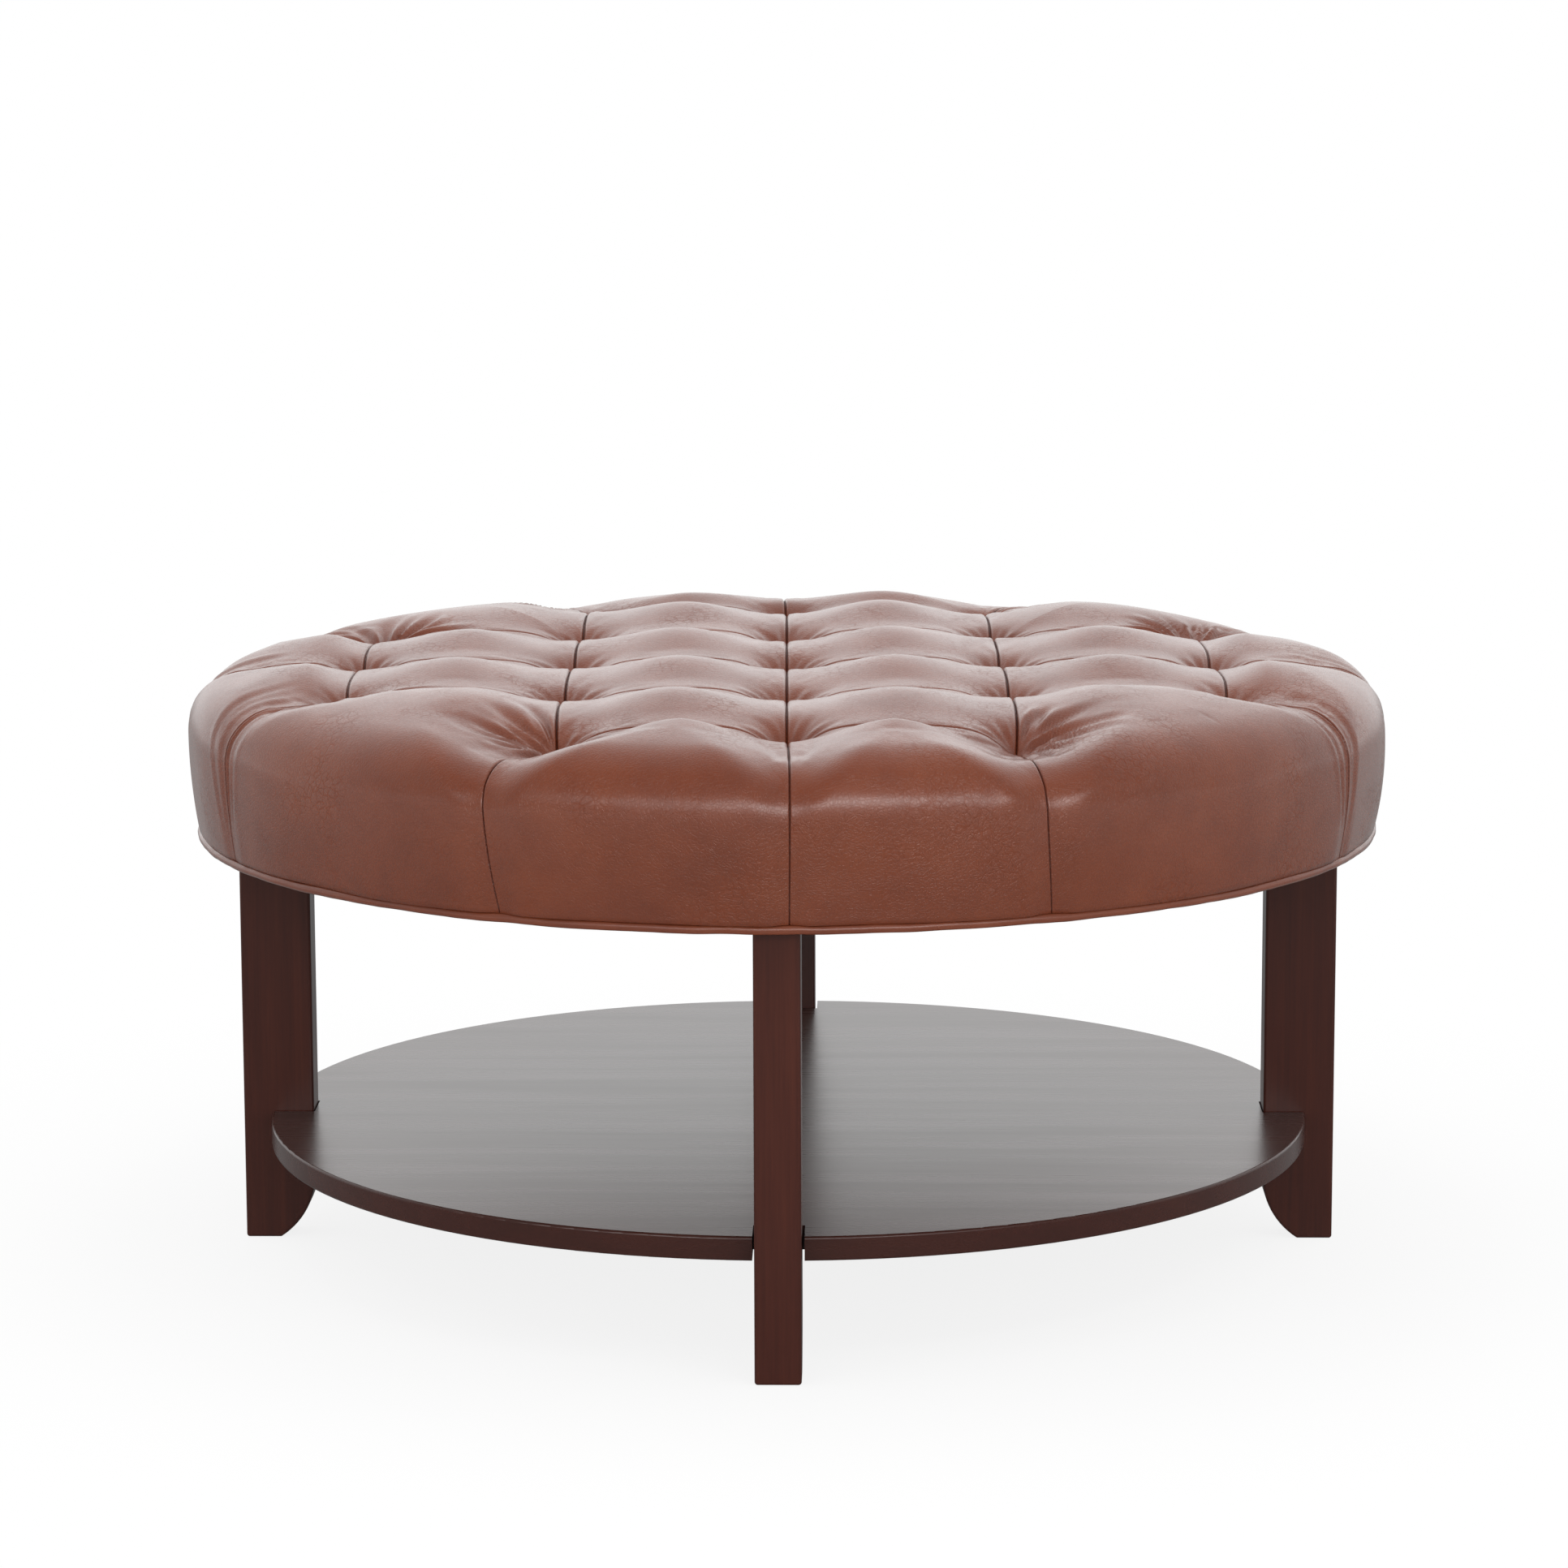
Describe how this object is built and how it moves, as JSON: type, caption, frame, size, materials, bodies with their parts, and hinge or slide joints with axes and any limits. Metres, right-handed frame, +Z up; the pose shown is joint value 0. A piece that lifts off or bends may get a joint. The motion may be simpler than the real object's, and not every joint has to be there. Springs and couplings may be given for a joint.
{
  "type": "tufted ottoman",
  "caption": "Round biscuit-tufted leather ottoman with a welted edge, on four upright board legs that carry a low round shelf.",
  "frame": {"origin": "centre of the floor area under the ottoman, midway between the four feet", "axes": "+Z up; the legs stand on the X and Y axes; the front faces -Y and +X is to the right seen from the front"},
  "size_m": [0.9838, 0.9838, 0.5035],
  "materials": {
    "seat_leather": "semi-gloss cognac leather with fine creases",
    "welt_leather": "semi-gloss cognac leather over a cord",
    "dark_wood": "satin espresso-brown stain",
    "plywood": "raw",
    "frame_wood": "raw",
    "foam": "raw foam",
    "wadding": "soft white fibre",
    "twine": "waxed twine",
    "washer_fibre": "matt",
    "dust_cloth": "thin black non-woven cloth",
    "zinc_steel": "zinc plated",
    "black_steel": "satin black"
  },
  "bodies": {
    "root": {"block_screws": "zinc_steel", "bolt_washers": "zinc_steel", "bracket_screws": "zinc_steel", "deck_screws": "zinc_steel", "dust_cover": "dust_cloth", "dust_staples": "zinc_steel", "frame_hoop": "plywood", "leg_back": "dark_wood", "leg_block_back": "frame_wood", "leg_block_front": "frame_wood", "leg_block_left": "frame_wood", "leg_block_right": "frame_wood", "leg_bolts": "zinc_steel", "leg_front": "dark_wood", "leg_inserts": "zinc_steel", "leg_left": "dark_wood", "leg_right": "dark_wood", "rail_back": "frame_wood", "rail_front": "frame_wood", "rail_left": "frame_wood", "rail_right": "frame_wood", "seat_cover": "seat_leather", "seat_deck": "plywood", "seat_foam": "foam", "shelf": "dark_wood", "shelf_bracket_back": "black_steel", "shelf_bracket_front": "black_steel", "shelf_bracket_left": "black_steel", "shelf_bracket_right": "black_steel", "side_wadding": "wadding", "tuft_twines": "twine", "tuft_washers": "washer_fibre", "welt": "welt_leather", "welt_staples": "zinc_steel"}
  },
  "joints": []
}
